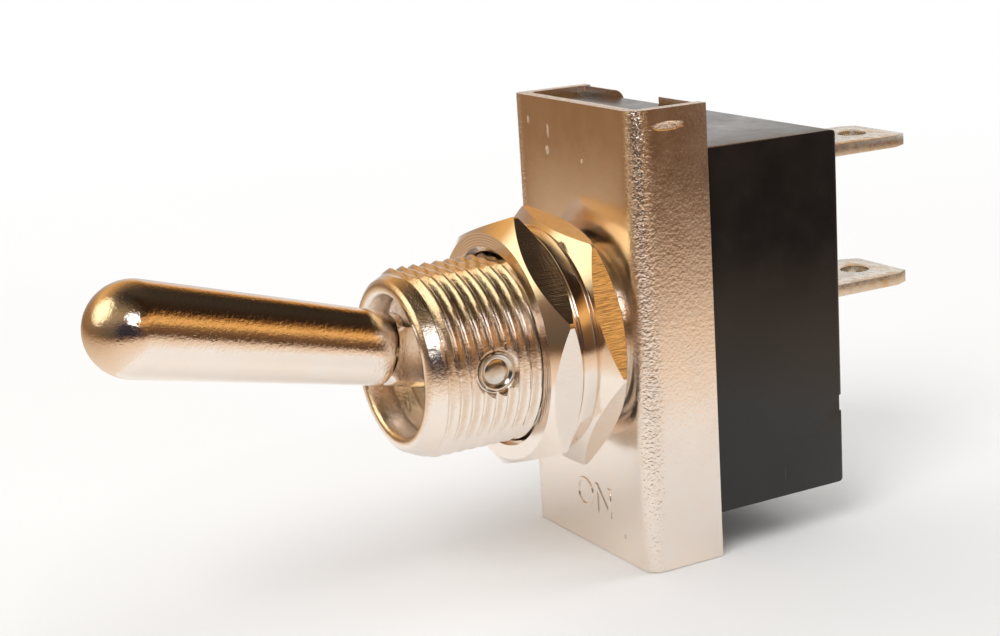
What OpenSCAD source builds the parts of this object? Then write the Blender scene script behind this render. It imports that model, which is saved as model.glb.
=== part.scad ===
// Panel toggle switch: bat lever, threaded bushing with two hex nuts,
// folded sheet frame, moulded housing with two blade terminals and a
// rocking contact inside. Single pole, single throw.
// Millimetres. The lever swings up and down in the plane x = 0.
// The origin is on the bushing axis, on the outer face of the frame plate.
// The bushing points along -Y, the housing and terminals lie along +Y,
// and +Z is up. The lever is drawn up, which is the open (off) position.

/* [Bushing] */
// outer diameter over the thread
thread_d = 11.9; // [11:0.1:12.6]
// distance from one thread ridge to the next
thread_pitch = 0.794; // [0.7:0.002:1.1]
// depth of the thread form, ridge to root
thread_depth = 0.46; // [0.3:0.02:0.5]
// length of the bushing in front of the frame plate
bushing_len = 13.5; // [12.5:0.1:16]
// length of the plain tapered lead at the front
lead_len = 1.15; // [0.6:0.05:1.8]
// diameter at the front rim of the lead
lead_d = 10.5; // [10:0.1:10.9]
// diameter of the bushing mouth
mouth_d = 8.8; // [8.2:0.1:9]
// diameter of the narrow land around the pivot pin
land_d = 7.5; // [6.8:0.1:7.9]
// diameter of the bore behind the land
rear_bore_d = 9.2; // [9:0.05:9.4]
// depth of the flat keyway along the top
keyway_depth = 0.42; // [0.2:0.02:0.6]

/* [Nuts and washer] */
// width across the flats of both nuts
nut_af = 14.8; // [14.2:0.1:17]
// thickness of each nut
nut_t = 2.25; // [1.8:0.05:2.6]
// front face of the front nut, ahead of the plate
front_nut_pos = 6.4; // [6.2:0.05:6.8]
// turn of the front nut about the bushing
front_nut_turn = 18; // [0:1:59]
// turn of the rear nut about the bushing
rear_nut_turn = 51; // [0:1:59]
// outer diameter of the washer between the nuts
washer_d = 14.6; // [13.6:0.1:16]
// thickness of the washer
washer_t = 1; // [0.6:0.05:1.2]

/* [Lever] */
// pivot pin centre, ahead of the plate
pivot_pos = 9.1; // [8.7:0.05:9.4]
// swing of the lever to each side of the bushing axis
lever_throw = 14.4; // [11:0.1:14.8]
// diameter of the ball at the tip of the bat
ball_d = 5.7; // [5:0.1:6.4]
// pivot centre to ball centre
bat_len = 20.5; // [16:0.05:24]
// diameter of the bat at its inner end
neck_d = 4.55; // [4:0.05:4.8]
// thickness of the flat tongue that the pin goes through
tongue_t = 3; // [2.6:0.1:3.4]
// diameter of the tubular tail
tail_d = 3.5; // [3.3:0.05:3.6]
// diameter of the pivot pin
pin_d = 2.4; // [2:0.1:2.6]

/* [Frame] */
// outside width of the folded frame
frame_w = 14.4; // [14:0.1:16]
// height of the frame
frame_h = 29.2; // [28:0.1:32]
// depth of the frame, plate face to the back of the tabs
frame_depth = 5.7; // [5.4:0.05:6.4]
// sheet thickness
sheet_t = 0.8; // [0.7:0.05:0.9]
// outer radius of the long bends
bend_r = 1.2; // [1:0.05:1.6]
// height of each corner tab
tab_h = 2.7; // [2.3:0.05:3]
// how far each tab reaches in from the side
tab_len = 4.5; // [3:0.1:5]

/* [Housing] */
// depth of the housing behind the plate face
body_depth = 15.4; // [15:0.1:18]
// how far each side of the block is set in from the frame
side_inset = 0.15; // [0.05:0.05:0.5]
// wall at the two ends of the cavity
end_wall = 1.5; // [1.2:0.05:1.7]
// wall between cavity and frame side
side_wall = 1.3; // [1:0.05:1.6]
// thickness of the floor that holds the terminals
floor_t = 3.9; // [3:0.1:4.2]
// radius of the outer moulded edges
edge_r = 0.45; // [0.2:0.05:0.7]

/* [Terminals] */
// width of the blades
blade_w = 6.3; // [5.8:0.1:6.6]
// thickness of the blades
blade_t = 0.8; // [0.7:0.05:0.9]
// length of the blades behind the housing
blade_len = 9.2; // [7:0.1:11]
// centre of the end blade, in from the end wall of the cavity
terminal_inset = 0.7; // [0.55:0.05:1]
// diameter of the hole in each blade
hole_d = 2; // [1.4:0.1:2.4]
// hole centre, in from the tip of the blade
hole_setback = 2.4; // [2:0.1:3.4]

/* [Rocking contact] */
// tilt of the rocker to each side of level
rocker_tilt = 5; // [4:0.1:5.6]
// strip thickness of the rocker
rocker_t = 0.8; // [0.6:0.05:0.9]
// width of the rocker
rocker_w = 4.6; // [4:0.1:4.7]
// contact centre, in from the end wall of the cavity
contact_inset = 2.95; // [2.8:0.05:3.2]
// diameter of the moving contact
contact_d = 3; // [2.6:0.1:3.2]
// height of the fulcrum over the cavity floor
fulcrum_h = 1.75; // [1.7:0.05:2]

/* [Hidden] */
$fn = 72;
eps = 0.01;
slip = 0.05;                  // radial play of parts that turn or slide
seat = 0.02;                  // play of parts that are pressed or clamped
air = 0.05;                   // room left between closed contacts and stops
past = 5;                     // how far a cut runs past the face it opens
block_end = 0.15;
block_h = frame_h - 2 * (tab_h + block_end);
cavity_h = block_h - 2 * end_wall;
terminal_gap = cavity_h / 2 - terminal_inset;
contact_z = cavity_h / 2 - contact_inset;
thread_r = thread_d / 2;
root_r = thread_r - thread_depth;
crest_w = thread_pitch / 8;
flank_w = (thread_pitch - 2 * crest_w) / 2;
lead_start = bushing_len - lead_len;
neck_wall = 0.5;
neck_r = rear_bore_d / 2 + neck_wall;
rivet_lip = 0.35;
rivet_r = neck_r + rivet_lip;
rivet_t = 0.4;
thread_runout = 0.35;
rings = floor((lead_start - thread_runout) / thread_pitch);
thread_start = lead_start - rings * thread_pitch;
land_half = 1.8;
land_taper = 0.8;
mouth_chamfer = 0.25;
keyway_z = thread_r - keyway_depth;
nut_bore_r = thread_r + slip;
nut_corner_d = nut_af / cos(30);
nut_face_drop = 0.2;
nut_face_angle = 38;
nut_face_r = nut_af / 2 - nut_face_drop;
nut_chamfer = (nut_corner_d / 2 - nut_face_r) * tan(nut_face_angle);
nut_countersink = 0.3;
washer_front = front_nut_pos - nut_t;
rear_nut_front = washer_front - washer_t - seat;
washer_bore_r = thread_r + 0.12;
washer_edge = 0.12;
pin_r = pin_d / 2;
pin_half = thread_r - 0.45;
pin_sink_r = pin_r + 0.42;
pin_sink_depth = 0.6;
pin_sink_lip = 0.1;
pin_nose = 0.15;
tongue_r = neck_d / 2 - 0.05;
neck_pos = 5.3;
neck_round = 0.55;
tongue_back = 2.3;
tail_taper = 0.7;
ball_r = ball_d / 2;
bat_slope = asin((ball_r - neck_d / 2) / (bat_len - neck_pos));
fulcrum_y = body_depth - floor_t - fulcrum_h;
floor_y = body_depth - floor_t;
edge_round = blade_t / 2;
cradle_r = edge_round + slip;
cradle_roof = 0.15;           // strip underside to the fulcrum axis
dish_y = fulcrum_y - cradle_roof - rocker_t;
tip_r = 0.9;
tip_air = 0.2;
tip_reach = pivot_pos + dish_y - tip_air;
tip_centre = tip_reach - tip_r;
// where the plunger tip is at the end of its swing, in the rocker's own frame
swing_y = tip_centre * cos(lever_throw) - pivot_pos - fulcrum_y;
swing_z = tip_centre * sin(lever_throw);
path_y = swing_y * cos(rocker_tilt) - swing_z * sin(rocker_tilt);
path_z = swing_z * cos(rocker_tilt) + swing_y * sin(rocker_tilt);
path_sag = tip_centre - pivot_pos - fulcrum_y - path_y;
path_r = (path_z * path_z + path_sag * path_sag) / (2 * path_sag);
// the dish is that path, moved out by the tip radius and its air
dish_r = path_r + tip_r + tip_air;
dish_centre = dish_y - dish_r;
dish_half = path_z * dish_r / path_r + 0.35;
dish_end_y = sqrt(dish_r * dish_r - dish_half * dish_half) + dish_centre;
arm_end = contact_z + contact_d / 2 + 0.2;
spring_space = 4.6;
press_travel = 1.2;
head_gap = 0.1;
head_len = 1.1;
head_cone = 2.8;
tail_len = tip_centre - press_travel - head_gap - head_len - head_cone;
tail_bore_r = 1.15;
tail_bore_depth = 8;
stem_r = tail_bore_r - slip;
stem_top = tail_len - tail_bore_depth + spring_space;
head_r = tail_d / 2;
head_start = tail_len + press_travel + head_gap;
wire_d = 0.36;
coil_r = tail_bore_r - wire_d / 2 - 0.08;
coil_turns = 7;
coil_sides = 10;
coil_steps = 20;
contact_t = 0.5;
contact_tail_t = 0.4;
shank_r = 0.75;
// underside of the arm at its contact, level pose
arm_y = dish_end_y - (contact_z - dish_half) * tan(rocker_tilt) + rocker_t;
// underside of the moving contact, level pose, then with the arm swung shut
contact_y = arm_y + contact_t;
shut_y = fulcrum_y + (contact_y - fulcrum_y) * cos(rocker_tilt) + contact_z * sin(rocker_tilt);
fixed_top = shut_y + air;
foot_top = floor_y - blade_t;
fixed_r = contact_d / 2 + 0.2;
// underside of the bare lower arm when it is pressed down
stop_y = fulcrum_y + (arm_y - fulcrum_y) * cos(rocker_tilt) + contact_z * sin(rocker_tilt) + air;
flange_edge = frame_depth - 0.3;
plate_hole_r = neck_r + seat;
tab_r = 1;
tab_corner = 0.8;
rivet_back = sheet_t + rivet_t;
fibre_t = 0.5;
sheet_front = rivet_back + seat;
sheet_back = sheet_front + fibre_t;
body_front = sheet_back + seat;
fibre_hole_r = rear_bore_d / 2 + 0.2;
ledge_back = frame_depth - sheet_t - air;
ledge_w = frame_w - 2 * sheet_t - 2 * air;
ledge_end = 0.4;
ledge_h = frame_h - 2 * ledge_end;
block_start = flange_edge + 0.1;
block_w = frame_w - 2 * side_inset;
cavity_w = ledge_w - 2 * side_wall;
cavity_r = 0.8;
ledge_step = 0.2;
slot_play = 0.04;
blade_end = body_depth + blade_len;
blade_corner = 1.1;
shoulder_w = blade_w + 0.8;
shoulder_t = 0.8;
ear_w = 0.85;
ear_top = 1.1;
foot_w = 5.6;
foot_end = contact_z - fixed_r - 0.3;
fold_in = 0.25;
notch_z = -6.35;
notch_h = 1.1;
notch_depth = 0.25;
notch_len = 1.4;
blank_depth = 0.35;
stop_w = 4;
stop_h = 2.4;

nickel = [0.80, 0.76, 0.68];
bright = [0.84, 0.82, 0.78];
brass = [0.78, 0.62, 0.36];
copper = [0.76, 0.46, 0.30];
silver = [0.86, 0.86, 0.84];
tinned = [0.80, 0.74, 0.66];
black = [0.09, 0.08, 0.08];
fibre = [0.46, 0.30, 0.18];
nylon = [0.88, 0.86, 0.78];
steel = [0.62, 0.62, 0.64];

// ---- placing helpers ----

// children stand along +Z with y up; they are laid to point forward
module forward() {
    rotate([90, 0, 0])
        children();
}

// a profile drawn with x as depth and y as height, given a width in x
module across(w) {
    rotate([90, 0, 90])
        translate([0, 0, -w / 2])
            linear_extrude(w)
                children();
}

// a profile drawn in plan, x across and y deep, given a height from z
module upright(z, h) {
    translate([0, 0, z])
        linear_extrude(h)
            children();
}

// the lever's own frame: origin at the pivot, +Z out along the bat
module on_lever() {
    translate([0, -pivot_pos, 0])
        rotate([-lever_throw, 0, 0])
            forward()
                children();
}

// the rocker's own frame, tilted with its upper arm raised
module on_rocker() {
    translate([0, fulcrum_y, 0])
        rotate([rocker_tilt, 0, 0])
            translate([0, -fulcrum_y, 0])
                children();
}

// a rectangle from one corner to the other with four round corners
module round_rect(a, b, r) {
    translate([a[0] + r, a[1]])
        square([b[0] - a[0] - 2 * r, b[1] - a[1]]);
    translate([a[0], a[1] + r])
        square([b[0] - a[0], b[1] - a[1] - 2 * r]);
    for (x = [a[0] + r, b[0] - r], y = [a[1] + r, b[1] - r])
        translate([x, y])
            circle(r);
}

// ---- bushing, nuts and washer ----

// one ridge of the thread: up the flank, along the crest, down the flank
function ridge(k) = let (z = thread_start + k * thread_pitch)
    [[root_r, z + crest_w / 2],
     [thread_r, z + crest_w / 2 + flank_w],
     [thread_r, z + crest_w * 3 / 2 + flank_w],
     [root_r, z + crest_w * 3 / 2 + 2 * flank_w]];

function thread_side() = [for (k = [0 : rings - 1]) each ridge(k)];

module bushing_side() {
    polygon(concat(
        [[0, -rivet_back], [rivet_r, -rivet_back], [rivet_r, -sheet_t],
         [neck_r, -sheet_t], [neck_r, 0], [root_r, 0]],
        thread_side(),
        [[root_r, lead_start], [thread_r - lead_step(), lead_start],
         [lead_d / 2, bushing_len], [0, bushing_len]]));
}

// the lead starts a little below the crest of the thread
function lead_step() = thread_depth / 3;

module bushing_bore() {
    polygon([[0, -rivet_back - past], [rear_bore_d / 2, -rivet_back - past],
             [rear_bore_d / 2, pivot_pos - land_half - land_taper],
             [land_d / 2, pivot_pos - land_half],
             [land_d / 2, pivot_pos + land_half],
             [mouth_d / 2, pivot_pos + land_half + land_taper],
             [mouth_d / 2, bushing_len - mouth_chamfer],
             [mouth_d / 2 + mouth_chamfer, bushing_len + eps],
             [mouth_d / 2 + mouth_chamfer, bushing_len + past],
             [0, bushing_len + past]]);
}

module pin_seat() {
    rotate([0, 90, 0])
        cylinder(r = pin_r + seat, h = 2 * thread_d, center = true);
    for (side = [-1, 1])
        rotate([0, side * 90, 0])
            translate([0, 0, thread_r - pin_sink_depth])
                cylinder(r1 = pin_r + pin_sink_lip,
                         r2 = 2 * pin_sink_r - pin_r - pin_sink_lip,
                         h = pin_sink_depth * 2);
}

module threaded_bushing() {
    color(nickel)
        difference() {
            forward()
                difference() {
                    rotate_extrude()
                        bushing_side();
                    rotate_extrude()
                        bushing_bore();
                }
            translate([-thread_r, -bushing_len - past, keyway_z])
                cube([thread_d, bushing_len + past - thread_runout, thread_d]);
            translate([0, -pivot_pos, 0])
                pin_seat();
        }
}

// a hex nut from z = 0, chamfered and countersunk on both faces
module hex_nut() {
    difference() {
        intersection() {
            cylinder(d = nut_corner_d, h = nut_t, $fn = 6);
            rotate_extrude()
                polygon([[0, 0], [nut_face_r, 0],
                         [nut_corner_d / 2, nut_chamfer],
                         [nut_corner_d / 2, nut_t - nut_chamfer],
                         [nut_face_r, nut_t], [0, nut_t]]);
        }
        translate([0, 0, -past])
            cylinder(r = nut_bore_r, h = nut_t + 2 * past);
        for (z = [0, nut_t])
            translate([0, 0, z])
                rotate([z > 0 ? 180 : 0, 0, 0])
                    translate([0, 0, -eps])
                        cylinder(r1 = nut_bore_r + nut_countersink,
                                 r2 = nut_bore_r - eps,
                                 h = nut_countersink + eps);
    }
}

module front_nut() {
    color(nickel)
        forward()
            translate([0, 0, washer_front])
                rotate([0, 0, front_nut_turn])
                    hex_nut();
}

module rear_nut() {
    color(nickel)
        forward()
            translate([0, 0, rear_nut_front - nut_t])
                rotate([0, 0, rear_nut_turn])
                    hex_nut();
}

module panel_washer() {
    color(bright)
        forward()
            translate([0, 0, washer_front - washer_t])
                rotate_extrude()
                    polygon([[washer_bore_r, 0],
                             [washer_d / 2 - washer_edge, 0],
                             [washer_d / 2, washer_edge],
                             [washer_d / 2, washer_t - washer_edge],
                             [washer_d / 2 - washer_edge, washer_t],
                             [washer_bore_r, washer_t]]);
}

// ---- lever, pin, plunger and spring ----

module bat() {
    tangent_r = ball_r * cos(bat_slope);
    tangent_z = bat_len - ball_r * sin(bat_slope);
    translate([0, 0, bat_len])
        sphere(ball_r);
    translate([0, 0, neck_pos])
        cylinder(r1 = neck_d / 2, r2 = tangent_r, h = tangent_z - neck_pos);
    rotate_extrude() {
        translate([0, neck_pos - neck_round])
            square([neck_d / 2 - neck_round, neck_round]);
        translate([neck_d / 2 - neck_round, neck_pos])
            intersection() {
                circle(neck_round);
                translate([0, -neck_round])
                    square(neck_round);
            }
    }
}

module tongue() {
    intersection() {
        translate([0, 0, -tongue_back])
            cylinder(r = tongue_r, h = tongue_back + neck_pos - neck_round / 2);
        cube([tongue_t, 2 * neck_d, 3 * neck_pos], center = true);
    }
}

module tail() {
    rotate([180, 0, 0]) {
        translate([0, 0, tongue_back - tail_taper])
            cylinder(r = tail_d / 2, h = tail_len - tongue_back + tail_taper);
        translate([0, 0, tongue_back])
            cylinder(r1 = tongue_t / 2, r2 = tail_d / 2, h = tail_taper);
    }
}

module toggle_lever() {
    color(bright)
        on_lever()
            difference() {
                union() {
                    bat();
                    tongue();
                    tail();
                }
                rotate([0, 90, 0])
                    cylinder(r = pin_r + slip, h = 4 * pin_d, center = true);
                translate([0, 0, -tail_len - past])
                    cylinder(r = tail_bore_r, h = tail_bore_depth + past);
            }
}

module pivot_pin() {
    color(bright)
        translate([0, -pivot_pos, 0])
            rotate([0, 90, 0])
                rotate_extrude()
                    polygon([[0, -pin_half], [pin_r - pin_nose, -pin_half],
                             [pin_r, -pin_half + pin_nose],
                             [pin_r, pin_half - pin_nose],
                             [pin_r - pin_nose, pin_half], [0, pin_half]]);
}

module plunger() {
    color(nylon)
        on_lever()
            rotate([180, 0, 0])
                rotate_extrude() {
                    polygon([[0, stem_top], [stem_r - 0.2, stem_top],
                             [stem_r, stem_top + 0.2], [stem_r, head_start],
                             [head_r - 0.25, head_start],
                             [head_r, head_start + 0.25],
                             [head_r, head_start + head_len],
                             [tip_r, tip_centre], [0, tip_centre]]);
                    translate([0, tip_centre])
                        intersection() {
                            circle(tip_r);
                            square(tip_r);
                        }
                }
}

// where the coil's centre line is after a share s of its length
function coil_at(s, h) = let (a = 360 * coil_turns * s)
    [coil_r * cos(a), coil_r * sin(a), h * s];

// one ring of the wire's surface
function coil_ring(s, h) = let (
        a = 360 * coil_turns * s,
        c = coil_at(s, h),
        out = [cos(a), sin(a), 0],
        rise = h / coil_turns / (2 * PI * coil_r),
        n = sqrt(1 + rise * rise),
        side = [-rise * sin(a) / n * -1, rise * cos(a) / n * -1, 1 / n])
    [for (i = [0 : coil_sides - 1])
        let (b = 360 * i / coil_sides)
            c + wire_d / 2 * (cos(b) * out + sin(b) * side)];

module coil_spring(h) {
    n = coil_turns * coil_steps;
    m = coil_sides;
    points = [for (k = [0 : n]) each coil_ring(k / n, h)];
    walls = [for (k = [0 : n - 1], i = [0 : m - 1])
        let (j = (i + 1) % m)
            [k * m + i, (k + 1) * m + i, (k + 1) * m + j, k * m + j]];
    first = [for (i = [0 : m - 1]) i];
    last = [for (i = [m - 1 : -1 : 0]) n * m + i];
    polyhedron(points, concat(walls, [first, last]));
}

module plunger_spring() {
    wire_room = wire_d + 2 * air;
    color(steel)
        on_lever()
            translate([0, 0, -stem_top + wire_room / 2])
                coil_spring(spring_space - wire_room);
}

// ---- frame and insulating sheet ----

module channel_profile() {
    difference() {
        union() {
            translate([-frame_w / 2 + bend_r, 0])
                square([frame_w - 2 * bend_r, bend_r + eps]);
            translate([-frame_w / 2, bend_r])
                square([frame_w, flange_edge - bend_r]);
            for (side = [-1, 1])
                translate([side * (frame_w / 2 - bend_r), bend_r])
                    circle(bend_r);
        }
        round_rect([-frame_w / 2 + sheet_t, sheet_t],
                   [frame_w / 2 - sheet_t, 3 * frame_depth],
                   bend_r - sheet_t);
    }
}

// plan of one corner tab: the side wall carried on and folded inward
module tab_profile() {
    bend = [frame_w / 2 - tab_r, frame_depth - tab_r];
    difference() {
        union() {
            translate([frame_w / 2 - sheet_t, flange_edge - 1])
                square([sheet_t, bend[1] - flange_edge + 1 + eps]);
            translate(bend)
                intersection() {
                    circle(tab_r);
                    square(tab_r);
                }
            translate([frame_w / 2 - tab_len, frame_depth - sheet_t])
                square([tab_len - tab_r + eps, sheet_t]);
        }
        translate(bend)
            circle(tab_r - sheet_t);
    }
}

module corner_tab() {
    difference() {
        upright(frame_h / 2 - tab_h, tab_h)
            tab_profile();
        translate([frame_w / 2 - tab_len, frame_depth - tab_corner,
                   frame_h / 2 - tab_corner])
            difference() {
                cube(2 * tab_len);
                rotate([0, 90, 0])
                    cylinder(r = tab_corner, h = 5 * tab_len, center = true);
            }
    }
}

module frame() {
    color(nickel)
        difference() {
            union() {
                upright(-frame_h / 2, frame_h)
                    channel_profile();
                for (flip = [0, 1], side = [0, 1])
                    mirror([0, 0, flip])
                        mirror([side, 0, 0])
                            corner_tab();
            }
            rotate([-90, 0, 0])
                translate([0, 0, -past])
                    cylinder(r = plate_hole_r, h = sheet_t + 2 * past);
        }
}

module insulating_sheet() {
    color(fibre)
        difference() {
            translate([-ledge_w / 2 + bend_r - sheet_t, sheet_front, -ledge_h / 2])
                cube([ledge_w - 2 * (bend_r - sheet_t), sheet_back - sheet_front,
                      ledge_h]);
            rotate([-90, 0, 0])
                cylinder(r = fibre_hole_r, h = 2 * frame_depth);
        }
}

// ---- housing ----

module housing_outside() {
    translate([-ledge_w / 2 + ledge_step, body_front, -ledge_h / 2])
        cube([ledge_w - 2 * ledge_step, ledge_back - body_front, ledge_h]);
    translate([-ledge_w / 2, body_front + ledge_step, -ledge_h / 2])
        cube([ledge_w, ledge_back - body_front - ledge_step, ledge_h]);
    translate([-ledge_w / 2, ledge_back - eps, -block_h / 2])
        cube([ledge_w, block_start - ledge_back + 2 * eps, block_h]);
    intersection() {
        across(block_w)
            round_rect([block_start - edge_r, -block_h / 2],
                       [body_depth, block_h / 2], edge_r);
        upright(-block_h, 2 * block_h)
            round_rect([-block_w / 2, block_start - edge_r],
                       [block_w / 2, body_depth], edge_r / 2);
        translate([-block_w, block_start, -block_h])
            cube([2 * block_w, body_depth, 2 * block_h]);
    }
}

module blade_slot(z) {
    translate([-blade_w / 2 - slot_play, floor_y - past,
               z - blade_t / 2 - slot_play])
        cube([blade_w + 2 * slot_play, floor_t + 2 * past,
              blade_t + 2 * slot_play]);
}

module housing() {
    color(black)
        difference() {
            union() {
                difference() {
                    housing_outside();
                    rotate([-90, 0, 0])
                        translate([0, 0, body_front - past])
                            linear_extrude(floor_y - body_front + past)
                                round_rect([-cavity_w / 2, -cavity_h / 2],
                                           [cavity_w / 2, cavity_h / 2],
                                           cavity_r);
                }
                translate([-stop_w / 2, stop_y, -contact_z - stop_h / 2])
                    cube([stop_w, floor_y - stop_y + eps, stop_h]);
            }
            blade_slot(0);
            blade_slot(terminal_gap);
            translate([-blade_w / 2, body_depth - blank_depth,
                       -terminal_gap - blade_t / 2])
                cube([blade_w, 1, blade_t]);
            translate([block_w / 2 - notch_len, body_depth - notch_depth,
                       notch_z - notch_h / 2])
                cube([2 * notch_len, 1, notch_h]);
        }
}

// ---- terminals and contacts ----

// plan of a blade from y0 to its tip, with cut corners and the wire hole
module blade_plan(y0) {
    difference() {
        polygon([[-blade_w / 2, y0], [blade_w / 2, y0],
                 [blade_w / 2, blade_end - blade_corner],
                 [blade_w / 2 - blade_corner / 2, blade_end],
                 [-blade_w / 2 + blade_corner / 2, blade_end],
                 [-blade_w / 2, blade_end - blade_corner]]);
        translate([0, blade_end - hole_setback])
            circle(hole_d / 2);
    }
}

module end_terminal() {
    fold_y = foot_top + fold_in + blade_t;
    fold_z = terminal_gap + blade_t / 2 - fold_in - blade_t;
    color(tinned)
        difference() {
            union() {
                upright(terminal_gap - blade_t / 2, blade_t)
                    blade_plan(fold_y);
                across(foot_w)
                    difference() {
                        union() {
                            translate([fold_y, fold_z])
                                circle(fold_in + blade_t);
                            translate([foot_top, foot_end])
                                square([blade_t, fold_z - foot_end]);
                        }
                        translate([fold_y, fold_z])
                            circle(fold_in);
                        translate([fold_y, fold_z - 2 * blade_t])
                            square([3 * blade_t, 2 * blade_t]);
                        translate([foot_top + blade_t, fold_z - 3 * blade_t])
                            square([3 * blade_t, 3 * blade_t]);
                        translate([fold_y, fold_z - 2 * blade_t])
                            square([3 * blade_t, fold_in + 2 * blade_t]);
                    }
            }
            translate([0, 0, contact_z])
                rotate([-90, 0, 0])
                    cylinder(r = shank_r + seat, h = 2 * floor_y);
        }
}

module common_terminal() {
    ear_half = rocker_w / 2 + 0.15;
    color(tinned)
        union() {
            upright(-blade_t / 2, blade_t)
                difference() {
                    union() {
                        blade_plan(fulcrum_y);
                        translate([-shoulder_w / 2, floor_y - shoulder_t])
                            square([shoulder_w, shoulder_t]);
                        for (side = [-1, 1])
                            translate([side * (ear_half + ear_w / 2) - ear_w / 2,
                                       dish_y - ear_top])
                                square([ear_w, floor_y - dish_y + ear_top]);
                    }
                    translate([-ear_half, 0])
                        square([2 * ear_half, fulcrum_y]);
                }
            translate([0, fulcrum_y, 0])
                rotate([0, 90, 0])
                    cylinder(r = edge_round, h = 2 * ear_half + eps, center = true);
        }
}

module fixed_contact() {
    color(silver)
        translate([0, 0, contact_z])
            rotate([-90, 0, 0]) {
                translate([0, 0, fixed_top])
                    cylinder(r = fixed_r, h = foot_top - fixed_top);
                translate([0, 0, foot_top - eps])
                    cylinder(r = shank_r, h = blade_t + eps);
            }
}

// depth of the arm's front face at height z
function arm_back(z) = dish_end_y - (z - dish_half) * tan(rocker_tilt);

// one half of the strip's side view: the dished middle and its flat arm
module rocker_half() {
    intersection() {
        difference() {
            translate([dish_centre, 0])
                circle(dish_r + rocker_t, $fn = 180);
            translate([dish_centre, 0])
                circle(dish_r, $fn = 180);
        }
        square([2 * dish_r, dish_half]);
    }
    polygon([[dish_end_y, dish_half - eps],
             [dish_end_y + rocker_t, dish_half - eps],
             [arm_back(arm_end) + rocker_t, arm_end],
             [arm_back(arm_end), arm_end]]);
}

module rocker() {
    color(copper)
        on_rocker()
            difference() {
                across(rocker_w) {
                    rocker_half();
                    mirror([0, 1])
                        rocker_half();
                }
                translate([0, fulcrum_y, 0])
                    rotate([0, 90, 0])
                        cylinder(r = cradle_r, h = 2 * rocker_w, center = true);
                translate([0, arm_y, contact_z])
                    rotate([-90 + rocker_tilt, 0, 0])
                        cylinder(r = shank_r + seat, h = 4 * rocker_t, center = true);
            }
}

module moving_contact() {
    color(silver)
        on_rocker()
            translate([0, arm_y, contact_z])
                rotate([-90 + rocker_tilt, 0, 0]) {
                    cylinder(r = contact_d / 2, h = contact_t);
                    translate([0, 0, -rocker_t])
                        cylinder(r = shank_r, h = rocker_t + eps);
                    translate([0, 0, -rocker_t - contact_tail_t])
                        cylinder(r1 = shank_r + 0.3, r2 = shank_r + 0.5,
                                 h = contact_tail_t);
                }
}

toggle_lever();
pivot_pin();
plunger_spring();
plunger();
threaded_bushing();
front_nut();
panel_washer();
rear_nut();
frame();
insulating_sheet();
housing();
end_terminal();
common_terminal();
fixed_contact();
rocker();
moving_contact();
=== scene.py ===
# %% [markdown]
# # A panel toggle switch
# This lesson dresses a finished CAD model of a heavy toggle switch. The solids
# already have the right sizes and move as the real switch does. What they lack
# is what the eye judges a metal part by: a thread that really winds, edges that
# are eased instead of razor sharp, and surfaces that carry the marks of drawing,
# turning, stamping and plating. Each step makes one piece or one finish.
#
# The model is in metres and the switch is only 56 mm long, so the mesh helpers
# below take millimetres and scale once, when the mesh is made.

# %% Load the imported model
import math

import bmesh
import bpy
from mathutils import Matrix, Vector


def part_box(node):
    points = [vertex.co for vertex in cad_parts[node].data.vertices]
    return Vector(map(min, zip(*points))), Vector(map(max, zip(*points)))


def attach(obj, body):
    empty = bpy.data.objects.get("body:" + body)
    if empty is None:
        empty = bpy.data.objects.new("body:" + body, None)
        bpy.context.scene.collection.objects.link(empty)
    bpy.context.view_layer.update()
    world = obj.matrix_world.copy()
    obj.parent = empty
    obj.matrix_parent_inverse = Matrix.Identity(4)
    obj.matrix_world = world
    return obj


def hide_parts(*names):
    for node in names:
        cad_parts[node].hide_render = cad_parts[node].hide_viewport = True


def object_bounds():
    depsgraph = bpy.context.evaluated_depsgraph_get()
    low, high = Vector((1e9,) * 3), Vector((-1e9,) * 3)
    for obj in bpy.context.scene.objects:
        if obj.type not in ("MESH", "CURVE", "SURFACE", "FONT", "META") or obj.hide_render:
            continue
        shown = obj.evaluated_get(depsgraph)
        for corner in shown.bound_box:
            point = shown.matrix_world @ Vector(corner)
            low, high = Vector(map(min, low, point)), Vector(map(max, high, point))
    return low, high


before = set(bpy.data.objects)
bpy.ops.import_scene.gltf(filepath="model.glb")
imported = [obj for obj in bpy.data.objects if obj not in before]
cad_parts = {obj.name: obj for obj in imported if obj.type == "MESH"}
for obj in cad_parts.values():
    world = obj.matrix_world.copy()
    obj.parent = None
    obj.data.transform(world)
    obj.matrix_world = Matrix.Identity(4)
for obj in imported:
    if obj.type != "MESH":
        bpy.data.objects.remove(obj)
cad_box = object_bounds()
MM = 0.001
print("box in mm:", [round((b - a) / MM, 2) for a, b in zip(*cad_box)])

# %% [markdown]
# ## The camera first
# A small object close to the lens shows strong perspective, so the camera stands
# only about twelve centimetres away with a fairly long lens. It looks from the
# front right and a little from above, leans by three degrees, and aims a
# little past the lever. Lens shift slides the switch back to the middle without
# bending the perspective. Setting it first means that every later choice, such as
# how fine a bevel has to be, can be judged in the real framing.

# %% Camera
CAMERA_AT = Vector((103.633, -59.779, 30.231)) * MM
CAMERA_AZIMUTH = math.radians(59.439)
CAMERA_HEIGHT = math.radians(13.885)
CAMERA_LEAN = math.radians(-3.059)


def lens_axes():
    """Right, up and back directions of the leaning camera."""
    a, e = CAMERA_AZIMUTH, CAMERA_HEIGHT
    back = Vector((math.sin(a) * math.cos(e), -math.cos(a) * math.cos(e), math.sin(e)))
    right = Vector((math.cos(a), math.sin(a), 0))
    up = back.cross(right)
    c, s = math.cos(CAMERA_LEAN), math.sin(CAMERA_LEAN)
    return right * c + up * s, up * c - right * s, back


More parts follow.
